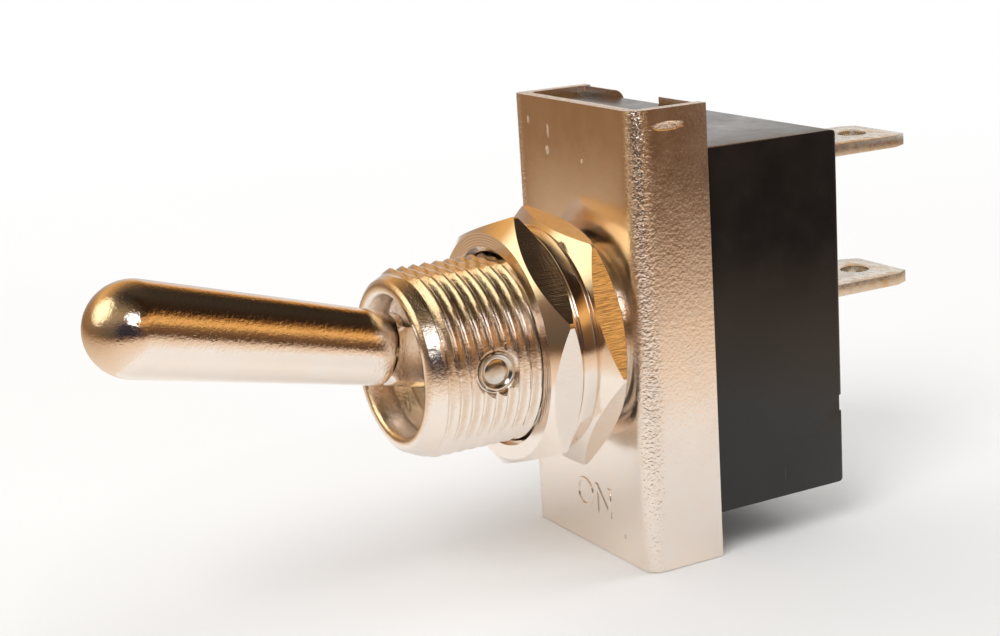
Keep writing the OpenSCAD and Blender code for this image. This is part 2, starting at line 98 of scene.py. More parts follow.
camera_data = bpy.data.cameras.new("camera")
camera_data.sensor_width = 36
camera_data.lens = 69.294
camera_data.shift_x = -0.1
camera_data.clip_start = 0.005
camera_data.clip_end = 20
camera = bpy.data.objects.new("camera", camera_data)
bpy.context.collection.objects.link(camera)
turn = Matrix(lens_axes()).transposed().to_4x4()
camera.matrix_world = Matrix.Translation(CAMERA_AT) @ turn
bpy.context.scene.camera = camera
print("camera stands", round(CAMERA_AT.length / MM), "mm from the bushing")

# %% [markdown]
# ## Helpers for meshes
# Almost everything on a switch was turned on a lathe or folded from sheet. A
# lathe is a profile of (radius, height) points carried round an axis, so one
# helper makes them all. It also accepts a rule that changes the radius by angle
# and height: the same helper then cuts a helix, a flat keyway or six flats.


# %% Mesh helpers
def to_row(turns=(), at=(0, 0, 0)):
    """Place in the row frame, in mm: turns are (axis, degrees), applied in order."""
    m = Matrix.Identity(4)
    for axis, degrees in turns:
        m = Matrix.Rotation(math.radians(degrees), 4, axis) @ m
    return Matrix.Translation(Vector(at)) @ m


FORWARD = to_row([("X", 90)])  # a lathe's +Z then points out of the panel, along -Y


def finish_mesh(name, bm, place=Matrix.Identity(4), smooth_to=35.0):
    """Turn a bmesh in mm into an object in metres with eased shading."""
    bmesh.ops.remove_doubles(bm, verts=bm.verts, dist=1e-5)
    bmesh.ops.recalc_face_normals(bm, faces=bm.faces)
    bm.transform(Matrix.Scale(MM, 4) @ place)
    mesh = bpy.data.meshes.new(name)
    bm.to_mesh(mesh)
    bm.free()
    mesh.shade_smooth()
    mesh.set_sharp_from_angle(angle=math.radians(smooth_to))
    piece = bpy.data.objects.new(name, mesh)
    bpy.context.collection.objects.link(piece)
    return piece


def lathe_into(bm, profile, steps=160, rule=None, closed=False):
    """Carry a profile of (r, z) round Z. r = 0 closes the end in a point."""
    rings = []
    for r, z in profile:
        ring = []
        if r < 1e-6:
            ring = [bm.verts.new((0, 0, z))] * steps
        else:
            for k in range(steps):
                a = 2 * math.pi * k / steps
                rr, zz = rule(r, z, a) if rule else (r, z)
                ring.append(bm.verts.new((rr * math.cos(a), rr * math.sin(a), zz)))
        rings.append(ring)
    if closed:
        rings.append(rings[0])
    for lower, upper in zip(rings, rings[1:]):
        for k in range(steps):
            j = (k + 1) % steps
            corner = [lower[k], lower[j], upper[j], upper[k]]
            unique = list(dict.fromkeys(corner))
            if len(unique) > 2:
                bm.faces.new(unique)


def lathe(name, profile, place=Matrix.Identity(4), steps=160, rule=None, closed=False):
    bm = bmesh.new()
    lathe_into(bm, profile, steps, rule, closed)
    return finish_mesh(name, bm, place)


def arc(cx, cz, r, start, end, steps=6):
    """Points of a rounded corner in a profile, angles in degrees."""
    pts = []
    for k in range(steps + 1):
        a = math.radians(start + (end - start) * k / steps)
        pts.append((cx + r * math.cos(a), cz + r * math.sin(a)))
    return pts


def eased_copy(name, node, ease=0.08, segments=2, angle=30):
    """A merged copy of a CAD node whose sharp edges are rounded a little."""
    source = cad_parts[node]
    bm = bmesh.new()
    bm.from_mesh(source.data)
    bm.transform(source.matrix_world)
    bm.transform(Matrix.Scale(1 / MM, 4))
    bmesh.ops.remove_doubles(bm, verts=bm.verts, dist=1e-4)
    bmesh.ops.dissolve_limit(bm, angle_limit=math.radians(0.6), verts=bm.verts,
                             edges=bm.edges)
    sharp = [e for e in bm.edges
             if len(e.link_faces) == 2 and e.calc_face_angle(0) > math.radians(angle)]
    bmesh.ops.bevel(bm, geom=sharp, offset=ease, segments=segments, profile=0.6,
                    affect="EDGES", clamp_overlap=True)
    bmesh.ops.triangulate(bm, faces=[f for f in bm.faces if len(f.verts) > 4])
    piece = finish_mesh(name, bm, smooth_to=40)
    print(name, "eased from", node, "with", len(piece.data.polygons), "faces")
    return piece


def wear(piece, body, material, slot, *nodes):
    """Hand the piece to its body, its finish and the CAD nodes it stands for."""
    piece.data.materials.clear()
    piece.data.materials.append(material)
    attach(piece, body)
    if nodes:
        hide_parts(*nodes)


# %% [markdown]
# ## Helpers for materials
# A finish is built from three layers. The first is the colour, which on plated
# metal wanders a little where the plate is thinner or handled. The second is the
# roughness, which is never even. The third is the relief: fine grain, turning
# rings or the pebbled skin that thick sheet shows where it was bent. The layers
# read Object coordinates in metres, so a noise scale is simply one divided by
# the size of its spots.


# %% Node helpers
class Finish:
    """A small builder for one Principled material."""

    def __init__(self, name, metallic, roughness):
        self.material = bpy.data.materials.new(name)
        self.material.use_nodes = True
        self.tree = self.material.node_tree
        self.shader = self.tree.nodes["Principled BSDF"]
        self.shader.inputs["Metallic"].default_value = metallic
        self.shader.inputs["Roughness"].default_value = roughness
        self.place = self.node("ShaderNodeTexCoord").outputs["Object"]
        self.relief = None

    def node(self, kind, **values):
        made = self.tree.nodes.new(kind)
        for key, value in values.items():
            setattr(made, key, value)
        return made

    def join(self, a, b):
        self.tree.links.new(a, b)

    def maths(self, operation, a, b=None):
        m = self.node("ShaderNodeMath", operation=operation)
        for socket, value in zip(m.inputs, (a, b)):
            if value is None:
                continue
            if isinstance(value, (int, float)):
                socket.default_value = value
            else:
                self.join(value, socket)
        return m.outputs[0]

    def squeezed(self, scale=(1, 1, 1), turn=(0, 0, 0)):
        """Object coordinates stretched for drawn or brushed lines."""
        m = self.node("ShaderNodeMapping")
        m.inputs["Scale"].default_value = scale
        m.inputs["Rotation"].default_value = turn
        self.join(self.place, m.inputs["Vector"])
        return m.outputs[0]

    def noise(self, spot_mm, detail=3.0, rough=0.5, where=None, warp=0.0):
        n = self.node("ShaderNodeTexNoise")
        n.inputs["Scale"].default_value = 1000.0 / spot_mm
        n.inputs["Detail"].default_value = detail
        n.inputs["Roughness"].default_value = rough
        n.inputs["Distortion"].default_value = warp
        self.join(where or self.place, n.inputs["Vector"])
        return n.outputs["Fac"]

    def span(self, value, low, high, to_low, to_high, smooth=False):
        m = self.node("ShaderNodeMapRange")
        if smooth:
            m.interpolation_type = "SMOOTHSTEP"
        for key, v in (("From Min", low), ("From Max", high),
                       ("To Min", to_low), ("To Max", to_high)):
            m.inputs[key].default_value = v
        self.join(value, m.inputs["Value"])
        return m.outputs[0]

    def axis(self, letter):
        s = self.node("ShaderNodeSeparateXYZ")
        self.join(self.place, s.inputs[0])
        return s.outputs[letter]

    def blend(self, factor, a, b):
        """Mix two colours; either may be a socket."""
        m = self.node("ShaderNodeMix", data_type="RGBA")
        for socket, value in ((m.inputs[0], factor), (m.inputs[6], a), (m.inputs[7], b)):
            if isinstance(value, (tuple, list)):
                socket.default_value = (*value, 1) if len(value) == 3 else value
            elif isinstance(value, (int, float)):
                socket.default_value = value
            else:
                self.join(value, socket)
        return m.outputs[2]

    def colour(self, socket):
        self.join(socket, self.shader.inputs["Base Color"])

    def roughness(self, socket):
        self.join(socket, self.shader.inputs["Roughness"])

    def bump(self, height, depth_mm, strength=1.0):
        """Stack one more layer of relief."""
        b = self.node("ShaderNodeBump")
        b.inputs["Distance"].default_value = depth_mm * MM
        if isinstance(strength, (int, float)):
            b.inputs["Strength"].default_value = strength
        else:
            self.join(strength, b.inputs["Strength"])
        self.join(height, b.inputs["Height"])
        if self.relief is not None:
            self.join(self.relief, b.inputs["Normal"])
        self.relief = b.outputs[0]
        self.join(self.relief, self.shader.inputs["Normal"])


# %% [markdown]
# ## Nickel plate
# Nickel is a pale metal with a warm tint, and bright plating follows whatever is
# under it. So the plate on the bat lever is almost a mirror, the plate on the
# turned parts keeps their tool marks, and the plate on the folded frame shows the
# grain of the rolled sheet. One builder makes the common part, and each finish
# adds the marks of its own process.


# %% Nickel finishes
NICKEL = (0.93, 0.83, 0.74)
NICKEL_WARM = (0.86, 0.73, 0.58)
NICKEL_COOL = (0.92, 0.88, 0.83)


def nickel(name, roughness, cloud_mm=4.0, cloud=0.35):
    f = Finish(name, 1.0, roughness)
    warm = f.span(f.noise(cloud_mm, 3.0, 0.6), 0.40, 0.72, 0.0, cloud)
    cool = f.span(f.noise(cloud_mm * 0.31, 2.0), 0.45, 0.75, 0.0, 0.4)
    f.colour(f.blend(cool, f.blend(warm, NICKEL, NICKEL_WARM), NICKEL_COOL))
    smear = f.noise(cloud_mm * 0.6, 4.0, 0.65)
    f.roughness(f.span(smear, 0.3, 0.75, roughness * 0.75, roughness * 1.45))
    return f


bat_finish = nickel("polished_nickel_bat", 0.10, 6.0, 0.30)
bat_finish.bump(bat_finish.noise(2.6, 2.0), 0.012, 0.35)
bat_finish.bump(bat_finish.noise(0.22, 3.0, 0.6, warp=0.6), 0.024, 0.70)
bat_finish.bump(bat_finish.noise(0.10, 3.0), 0.0014, 0.40)

thread_finish = nickel("nickel_thread", 0.16, 2.0, 0.35)
thread_finish.bump(thread_finish.noise(0.5, 3.0), 0.04, 0.50)
thread_finish.bump(thread_finish.noise(0.18, 3.0, 0.7), 0.030, 0.75)

washer_finish = nickel("nickel_washer", 0.12, 3.0, 0.25)
washer_finish.bump(washer_finish.noise(0.6, 2.0), 0.01, 0.4)
print("nickel finishes made")

# %% [markdown]
# ## Nuts cut from drawn hexagon bar
# A nut like this starts as a hexagon bar that was pulled through a die, which
# leaves fine lines along the bar, so across the nut's thickness. The two faces
# are then turned on a lathe, which leaves rings round the axis. The material
# needs to know which is which. The faces look along the bushing, so the Y part
# of the surface normal tells the two apart.


# %% Nut finish
def make_nut_finish():
    f = nickel("nickel_hex_nut", 0.11, 3.0, 0.35)
    normal = f.node("ShaderNodeSeparateXYZ")
    f.join(f.node("ShaderNodeNewGeometry").outputs["Normal"], normal.inputs[0])
    facing = f.maths("ABSOLUTE", normal.outputs["Y"])
    on_flat = f.span(facing, 0.10, 0.35, 1.0, 0.0)
    on_face = f.span(facing, 0.80, 0.95, 0.0, 1.0)
    drawn = f.noise(0.11, 2.0, 0.6, f.squeezed((1, 0.045, 1)))
    f.bump(drawn, 0.030, f.maths("MULTIPLY", on_flat, 0.75))
    across = f.noise(0.16, 2.0, 0.6, f.squeezed((0.3, 1, 0.3)))
    f.bump(across, 0.014, f.maths("MULTIPLY", on_flat, 0.45))
    x, z = f.axis("X"), f.axis("Z")
    reach = f.maths("SQRT", f.maths("ADD", f.maths("MULTIPLY", x, x),
                                    f.maths("MULTIPLY", z, z)))
    rings = f.maths("SINE", f.maths("MULTIPLY", reach, 2 * math.pi / (0.17 * MM)))
    f.bump(rings, 0.0022, f.maths("MULTIPLY", on_face, 0.6))
    f.bump(f.noise(0.7, 3.0), 0.012, 0.35)
    return f


nut_finish = make_nut_finish()
print("nut finish nodes:", len(nut_finish.tree.nodes))

# %% [markdown]
# ## The pebbled skin of folded sheet
# When thick sheet is bent, the grains at the outside of the bend are pulled apart
# and stand up as a pebbled skin. It is strongest along the bend and on the wall
# beside it, and fades toward the flat plate. Here the distance from the middle of
# the frame drives the strength. The plate keeps a few fine dents from handling,
# each a short line or a pit that the bump layer presses in.


# %% Frame finish
def pressed_spot(f, x, y, z, size, stretch=(1, 1, 1)):
    """A soft pit at one place, 1 in the middle and 0 outside."""
    at = f.node("ShaderNodeMapping", vector_type="TEXTURE")
    at.inputs["Location"].default_value = Vector((x, y, z)) * MM
    at.inputs["Scale"].default_value = [size * s * MM for s in stretch]
    f.join(f.place, at.inputs["Vector"])
    reach = f.node("ShaderNodeVectorMath", operation="LENGTH")
    f.join(at.outputs[0], reach.inputs[0])
    return f.span(reach.outputs["Value"], 0.35, 1.0, 1.0, 0.0, smooth=True)


def make_frame_finish():
    f = nickel("nickel_folded_sheet", 0.19, 3.5, 0.15)
    side = f.maths("ABSOLUTE", f.axis("X"))
    bent = f.span(side, 6.0 * MM, 6.5 * MM, 0.0, 1.0, smooth=True)
    near_plate = f.span(f.axis("Y"), 0.8 * MM, 1.6 * MM, 1.0, 0.0, smooth=True)
    corner = f.maths("MULTIPLY", bent, near_plate)
    f.bump(f.noise(0.22, 2.5, 0.6), 0.026, f.maths("MULTIPLY", bent, 0.75))
    f.bump(f.noise(0.22, 2.0, 0.6), 0.060, f.maths("MULTIPLY", corner, 0.9))
    f.bump(f.noise(0.55, 3.0, 0.55), 0.014, 0.22)
    f.bump(f.noise(0.13, 3.0, 0.6), 0.007, 0.50)
    f.bump(f.noise(5.0, 1.0), 0.08, 0.25)
    facing = f.node("ShaderNodeSeparateXYZ")
    f.join(f.node("ShaderNodeNewGeometry").outputs["Normal"], facing.inputs[0])
    sheared = f.span(f.maths("ABSOLUTE", facing.outputs["Z"]), 0.35, 0.80, 0.0, 1.0)
    f.bump(f.noise(0.30, 2.0, 0.6), 0.16, f.maths("MULTIPLY", sheared, 0.9))
    ragged = f.span(f.noise(0.22, 3.0, 0.7), 0.35, 0.60, 0.2, 1.0)
    for spot in ((-2.9, 0, 12.5, 0.30, (0.6, 1, 1.9)), (-3.1, 0, 11.2, 0.30, (1.0, 1, 1.3)),
                 (1.2, 0, 11.0, 0.14, (1.3, 1, 1)), (-5.4, 0, 13.0, 0.18, (1, 1, 1.6)),
                 (7.2, 2.6, 13.5, 0.36, (1, 3.9, 0.85)), (4.1, 0, -12.9, 0.20, (1, 1, 1))):
        f.bump(f.maths("MULTIPLY", pressed_spot(f, *spot), ragged), -0.07, 0.9)
    return f


frame_finish = make_frame_finish()
print("frame finish nodes:", len(frame_finish.tree.nodes))

# %% [markdown]
# ## Black thermoset moulding
# The housing is a hard thermoset moulding: black right through, glossy, with the
# faint cloudiness of a worn mould and a few hairline scratches. One flat black
# would look like a hole, so a slow noise mixes two blacks and another moves the
# roughness up and down.


# %% Housing finish
def make_housing_finish():
    f = Finish("black_thermoset", 0.0, 0.16)
    cloud = f.span(f.noise(6.0, 4.0, 0.6), 0.35, 0.75, 0.0, 1.0)
    f.colour(f.blend(cloud, (0.0075, 0.007, 0.007), (0.016, 0.013, 0.012)))
    f.roughness(f.span(f.noise(3.0, 5.0, 0.7), 0.3, 0.75, 0.13, 0.30))
    f.bump(f.noise(0.9, 3.0), 0.010, 0.30)
    f.bump(f.noise(0.09, 2.0), 0.0022, 0.35)
    hair = f.noise(0.5, 2.0, 0.5, f.squeezed((1, 0.9, 0.10), (0.5, 0.2, 0.1)), 0.6)
    f.bump(f.span(hair, 0.66, 0.70, 0.0, 1.0), -0.006, 0.5)
    f.bump(pressed_spot(f, 7.05, 10.7, -10.3, 0.75, (1, 0.14, 1)), -0.03, 0.7)
    return f


housing_finish = make_housing_finish()
print("housing finish nodes:", len(housing_finish.tree.nodes))

# %% [markdown]
# ## Tinned brass strip
# The blades are punched from brass strip and dipped in tin, so they are pale with
# warm spots where the brass shows. A painted map could place those spots, but a
# noise with a narrow step gives the same islands and works on any shape.


# %% Blade finish
def make_blade_finish():
    f = Finish("tinned_brass_strip", 1.0, 0.24)
    bare = f.span(f.noise(1.1, 4.0, 0.65), 0.52, 0.66, 0.0, 0.75)
    f.colour(f.blend(bare, (0.80, 0.77, 0.70), (0.74, 0.56, 0.34)))
    f.roughness(f.span(f.noise(0.5, 4.0, 0.7), 0.3, 0.7, 0.16, 0.42))
    f.bump(f.noise(0.35, 3.0, 0.6), 0.016, 0.6)
    f.bump(f.noise(0.10, 2.0, 0.6, f.squeezed((1, 0.06, 1))), 0.006, 0.5)
    return f


blade_finish = make_blade_finish()
print("blade finish nodes:", len(blade_finish.tree.nodes))

# %% [markdown]
# ## Finishes of the inner pieces
# Inside are copper strip, silver contacts, natural nylon, red fibre and drawn
# spring wire. They are seen only through the mouth of the bushing or with the
# switch opened, so two small builders are enough: one for metal, one for the rest.


# %% Finishes of the inner pieces
def plain_metal(name, colour, tint, roughness, grain_mm, depth):
    f = Finish(name, 1.0, roughness)
    f.colour(f.blend(f.span(f.noise(1.5, 3.0), 0.35, 0.7, 0.0, 1.0), colour, tint))
    f.roughness(f.span(f.noise(0.6, 3.0), 0.3, 0.7, roughness * 0.8, roughness * 1.3))
    f.bump(f.noise(grain_mm, 3.0), depth, 0.5)
    return f


copper_finish = plain_metal("copper_strip", (0.80, 0.43, 0.26), (0.60, 0.30, 0.17),
                            0.24, 0.2, 0.006)
silver_finish = plain_metal("contact_silver", (0.88, 0.87, 0.84), (0.70, 0.67, 0.62),
                            0.26, 0.3, 0.008)
wire_finish = plain_metal("spring_wire", (0.58, 0.57, 0.56), (0.42, 0.40, 0.38),
                          0.22, 0.1, 0.003)
pin_finish = plain_metal("riveted_pin", (0.78, 0.74, 0.68), (0.62, 0.54, 0.44),
                         0.20, 0.5, 0.022)


def plain_solid(name, colour, tint, roughness, grain_mm, depth):
    f = Finish(name, 0.0, roughness)
    f.colour(f.blend(f.span(f.noise(0.8, 4.0, 0.6), 0.3, 0.7, 0.0, 1.0), colour, tint))
    f.roughness(f.span(f.noise(0.5, 3.0), 0.3, 0.7, roughness * 0.8, roughness * 1.2))
    f.bump(f.noise(grain_mm, 4.0, 0.6), depth, 0.5)
    return f


nylon_finish = plain_solid("natural_nylon", (0.78, 0.74, 0.62), (0.70, 0.64, 0.50),
                           0.42, 0.3, 0.006)
nylon_finish.shader.inputs["Subsurface Weight"].default_value = 0.12
nylon_finish.shader.inputs["Subsurface Scale"].default_value = 0.0005
fibre_finish = plain_solid("red_fibre", (0.36, 0.17, 0.10), (0.25, 0.11, 0.07),
                           0.66, 0.12, 0.012)
print("finishes ready:", len(bpy.data.materials))

# %% [markdown]
# ## Bat lever
# The lever is turned from bar: a ball at the tip, a long taper, a rounded inner
# end, then two flats where the pin goes through and a hollow tail that holds the
# spring. It could be a stretched sphere joined to a cone, but the seam would show
# as a kink in the reflections. One profile whose ball and taper meet at a shared
# tangent has no seam at all.

# %% Bat lever
PIVOT = 9.1
THROW = 14.4
BAT_LENGTH = 20.5
BALL = (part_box("toggle_lever")[1].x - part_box("toggle_lever")[0].x) / MM / 2
NECK = 2.275
ON_LEVER = to_row([("X", 90), ("X", -THROW)], (0, -PIVOT, 0))


def make_bat():
    neck_at, rounding, half_tongue = 5.3, 0.55, 1.5
    lean = math.degrees(math.asin((BALL - NECK) / (BAT_LENGTH - neck_at)))
    side = arc(0, BAT_LENGTH, BALL, 90, -lean, 44)
    side[0] = (0, side[0][1])
    top_r, top_z = side[-1]
    for k in range(1, 24):
        s = k / 24
        side.append((top_r + (NECK - top_r) * s, top_z + (neck_at - top_z) * s))
    side += arc(NECK - rounding, neck_at, rounding, 0, -90, 10)
    side.append((0, neck_at - rounding))
    bm = bmesh.new()
    lathe_into(bm, side, 144)

    def flats(r, z, a):
        return min(r, half_tongue / max(abs(math.cos(a)), 1e-4)), z

    tongue = [(0, 5.0), (2.0, 5.0), (2.2, 4.7), (2.225, 4.4), (2.225, -1.9), (2.1, -2.2),
              (0, -2.3)]
    lathe_into(bm, tongue, 144, flats)
    tail_end = 11.6
    tail = [(1.2, -1.7), (1.5, -2.3), (1.75, -3.0), (1.75, -tail_end + 0.2), (1.6, -tail_end),
            (1.25, -tail_end), (1.15, -tail_end + 0.1), (1.15, -3.6), (0.6, -3.6), (0.6, -1.7)]
    lathe_into(bm, tail, 72, closed=True)
    return finish_mesh("bat_lever", bm, ON_LEVER, 40)


bat = make_bat()
wear(bat, "lever", bat_finish.material, "bat_plate", "toggle_lever")
print("bat lever faces:", len(bat.data.polygons))

# %% [markdown]
# ## Threaded bushing
# The thread is the detail that gives a model away: rings look right from far off,
# but a real thread winds. The wall of the bushing is a grid of points round and
# along the axis, and each point asks how far it is along the helix to learn how
# deep the groove is there. First come the few sizes, read from the solids.

# %% Bushing sizes from the solids
low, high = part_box("threaded_bushing")
CREST = (high.x - low.x) / MM / 2
BUSH_FRONT = -low.y / MM
BUSH_BACK = high.y / MM
PITCH = 0.794
ROWS_PER_TURN = 13
THREAD_DEPTH = 0.46
KEYWAY = high.z / MM
LEAD = 1.15
RIM = 5.25
print("bushing:", round(CREST, 3), "mm radius,", round(BUSH_FRONT, 2), "mm long")

# %% [markdown]
# ## The rule of the thread
# Each tool on a lathe only ever takes metal away, so the radius at a point is the
# least of all the cuts: the helix, the run-out at the plate, the tapered lead at
# the front and the keyway planed flat on top. The crests are a little uneven, as
# rolled and plated crests are, and where the keyway crosses them its edge is
# ragged.


# %% Bushing rule
def groove_depth(turn_share):
    """0 on the crest and 1 in the root of the thread, for a share of one pitch."""
    s = abs((turn_share % 1.0) - 0.5) * 2  # 1 at the crest, 0 in the root
    crest, root = 0.06, 0.08
    t = min(max((s - root) / (1 - crest - root), 0.0), 1.0)
    eased = t * t * (3 - 2 * t)
    return 1 - (0.25 * eased + 0.75 * t)


def bushing_wall(r, z, a):
    """Radius of the bushing's outside at height z and angle a."""
    around = a / (2 * math.pi)
    deep = groove_depth(z / PITCH - around) * THREAD_DEPTH
    uneven = 0.018 * math.sin(5.3 * a + 2.1 * z) + 0.012 * math.sin(11 * a - 3.7 * z)
    wall = CREST - deep * (1 + uneven) - 0.12 * abs(uneven)
    if z < 0.7:
        wall = min(wall, CREST - THREAD_DEPTH * min(1.0, (0.7 - z) / 0.25))
    lead = BUSH_FRONT - LEAD
    if z > lead:
        s = (z - lead) / LEAD
        start = CREST - THREAD_DEPTH / 3
        wall = min(wall, start + (RIM - start) * s)
    up = math.sin(a)
    if up > 0.5:
        ragged = 0.09 * (1 - 2 * deep / THREAD_DEPTH) + 0.03 * math.sin(23 * a + 9 * z)
        wall = min(wall, (KEYWAY + (ragged if z < lead else 0.0)) / up)
    return wall, z


print("root radius:", round(bushing_wall(CREST, PITCH * 8.5, 0)[0], 2), "mm")

# %% [markdown]
# ## The grid of the bushing
# The outside is many close rows, and the mouth, the narrow land round the pin and
# the wider bore behind it are a plain turned profile. Both join in one closed
# ring of rows, so the wall has a real thickness where the lever shows it.


# %% Bushing mesh
def make_bushing():
    rows = []
    z = 0.0
    step = PITCH / ROWS_PER_TURN
    while z < BUSH_FRONT - 0.16:
        rows.append((CREST, z))
        z += step
    rim = BUSH_FRONT
    inner = [(5.12, rim - 0.05), (5.02, rim), (4.75, rim), (4.58, rim - 0.04), (4.4, rim - 0.24),
             (4.4, PIVOT + 2.7), (4.36, PIVOT + 2.55), (3.80, PIVOT + 1.9), (3.75, PIVOT + 1.75),
             (3.75, PIVOT - 1.75), (3.80, PIVOT - 1.85), (4.6, PIVOT - 2.6),
             (4.6, -BUSH_BACK + 0.1), (4.7, -BUSH_BACK), (5.36, -BUSH_BACK),
             (5.45, -BUSH_BACK + 0.08), (5.45, -0.82), (5.1, -0.8), (5.1, -0.02), (5.2, 0.0)]
    profile = rows + inner

    def rule(r, zz, a):
        return bushing_wall(r, zz, a) if r == CREST else (r, zz)

    bm = bmesh.new()
    lathe_into(bm, profile, 320, rule, closed=True)
    print("thread rows:", len(rows), "turns:", round(BUSH_FRONT / PITCH, 1))
    return finish_mesh("bushing_thread", bm, FORWARD, 55)


bushing = make_bushing()

# %% [markdown]
# ## Seats for the pin
# The ends of the pivot pin lie in two dished seats that cut through the crests.
# So small a circle falls between the points of the grid, so a turned cutter takes
# it out afterwards with an exact Boolean, and the result becomes a plain mesh.


# %% Pin seats
def sink_pin_seats(piece):
    """Cut the two dished seats round the pin and take the result as the mesh."""
    seat = [(0, 1.6), (1.16, 1.6), (1.24, 5.36), (1.30, 5.34), (1.42, 5.44), (1.52, 5.62),
            (1.62, 5.95), (1.78, 6.5), (0, 6.5)]
    cutters = []
    for turned in (90, -90):
        tool = lathe("seat_cutter", seat, to_row([("Y", turned)], (0, -PIVOT, 0)), 96)
        cut = piece.modifiers.new("seat", "BOOLEAN")
        cut.operation = "DIFFERENCE"
        cut.solver = "EXACT"
        cut.object = tool
        cutters.append(tool)
    bpy.context.view_layer.update()
    graph = bpy.context.evaluated_depsgraph_get()
    cut_mesh = bpy.data.meshes.new_from_object(piece.evaluated_get(graph))
    piece.modifiers.clear()
    piece.data = cut_mesh
    for tool in cutters:
        bpy.data.objects.remove(tool)
    cut_mesh.set_sharp_from_angle(angle=math.radians(50))


sink_pin_seats(bushing)
wear(bushing, "switch_base", thread_finish.material, "bushing_plate", "threaded_bushing")
print("bushing faces:", len(bushing.data.polygons))

# %% [markdown]
# ## Riveted pivot pin
# The lever turns on a plain pin. After assembly both ends are struck with a ring
# punch: the middle stays a low button and a shallow ring is pressed round it.
# The punch is what makes the end look different from a cut rod, so the profile
# has the button, the ring and the swollen rim.

# %% Pivot pin
PIN = (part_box("pivot_pin")[1].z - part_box("pivot_pin")[0].z) / MM / 2
PIN_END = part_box("pivot_pin")[1].x / MM


def make_pin():
    e = PIN_END
    end = [(0, e - 0.02), (0.45, e - 0.03), (0.66, e - 0.08), (0.78, e - 0.15), (0.86, e - 0.14),
           (0.95, e - 0.05), (1.04, e), (1.12, e - 0.01), (PIN, e - 0.10), (PIN, e - 0.30)]
    far = [(r, -z) for r, z in reversed(end)]
    return lathe("riveted_pin", end + far, to_row([("Y", 90)], (0, -PIVOT, 0)), 72)


pin = make_pin()
wear(pin, "switch_base", pin_finish.material, "pin_steel", "pivot_pin")
print("pivot pin:", round(PIN * 2, 2), "mm thick,", round(PIN_END * 2, 2), "mm long")

# %% [markdown]
# ## Hexagon nuts
# A nut is a lathe shape whose radius follows six flats instead of a circle. Where
# a steep cone cuts the six corners, the edge between cone and flat is
# the curved arch that every turned nut shows. Because the rule gives the exact
# distance to the flat for each angle, the arch comes out by itself. Extra rows
# close to each edge keep the reflections from smearing round the corner.

# %% Hexagon rule and nuts
ACROSS_FLATS = 14.8
FLAT = ACROSS_FLATS / 2
CORNER_EASE = 0.07  # how much each of the six corners is worn down
CORNER_SPAN = 0.06  # how far round the corner that reaches, in radians


def flat_reach(a, turned):
    """Distance from the axis to the flat at angle a, with softened corners."""
    s = abs(math.radians(((math.degrees(a) - turned + 30) % 60) - 30))
    reach = FLAT / math.cos(math.radians(30) - s)
    if s >= CORNER_SPAN:
        return reach
    corner = FLAT / math.cos(math.radians(30))
    return min(reach, corner - CORNER_EASE * (1 - s / CORNER_SPAN))


def make_nut(name, front, back, turned, bore, cut=0.2, cone=38):
    """A nut between two heights along the bushing, turned about its axis."""
    thick = front - back
    face_r, slope = FLAT - cut, math.tan(math.radians(cone))
    # (kind, value): share 0 is the face circle, 1 the arch between cone and flat
    rows = [("bore", 0.12), ("sink", 0.0), ("face", 0.0), ("face", 0.5), ("face", 0.94),
            ("face", 1.0), ("cone", 0.25), ("cone", 0.75), ("cone", 0.93), ("edge", 0.0)]
    spec = [(kind, v, 1) for kind, v in rows]
    spec += [("edge", 0.07, 1), ("edge", 0.45, 1), ("edge", 0.45, -1), ("edge", 0.07, -1)]
    spec += [(kind, v, -1) for kind, v in reversed(rows)]
    profile = [(1 + i * 1e-3, float(i)) for i in range(len(spec))]

    def rule(r, i, a):
        kind, v, side = spec[int(round(i))]
        reach = flat_reach(a, turned)
        drop = (reach - face_r) * slope
        if kind == "bore":
            rr, inset = bore, thick * 0.3
        elif kind == "sink":
            rr, inset = bore, 0.3
        elif kind == "face":
            rr, inset = bore + 0.3 + (face_r - bore - 0.3) * v, 0.0
        elif kind == "cone":
            rr, inset = face_r + (reach - face_r) * v, drop * v
        else:
            rr, inset = reach, drop + (thick / 2 - drop) * v
        return rr, (front - inset) if side > 0 else (back + inset)

    bm = bmesh.new()
    lathe_into(bm, profile, 360, rule, closed=True)
    return finish_mesh(name, bm, FORWARD, 24)


def along(node):
    """How far a node reaches along the bushing, in mm ahead of the plate."""
    a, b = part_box(node)
    return -a.y / MM, -b.y / MM


BORE = CREST + 0.05
front_nut = make_nut("front_hex_nut", *along("front_nut"), 18, BORE)
wear(front_nut, "clamping_nut", nut_finish.material, "nut_plate", "front_nut")
rear_nut = make_nut("rear_hex_nut", *along("rear_nut"), 51, BORE, 0.45, 34)
wear(rear_nut, "backing_nut", nut_finish.material, "nut_plate", "rear_nut")
print("front nut spans", [round(v, 2) for v in along("front_nut")])

# %% [markdown]
# ## Washer
# A punched and tumbled washer has a rim that is rounded on both sides. A bevel on
# a flat ring would do, but the profile says it directly: a quarter arc at each
# edge, carried round the bushing.

# %% Washer
washer_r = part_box("panel_washer")[1].x / MM
washer_bore = CREST + 0.14
w_front, w_back = along("panel_washer")
rim_r = 0.16
washer = lathe("plain_washer", [(washer_bore, w_back), (washer_r - rim_r, w_back)]
               + arc(washer_r - rim_r, w_back + rim_r, rim_r, -90, 0, 5)
               + arc(washer_r - rim_r, w_front - rim_r, rim_r, 0, 90, 5)
               + [(washer_bore, w_front)], FORWARD, 200, closed=True)
wear(washer, "clamping_nut", washer_finish.material, "washer_plate", "panel_washer")
print("washer:", round(washer_r * 2, 2), "mm across")

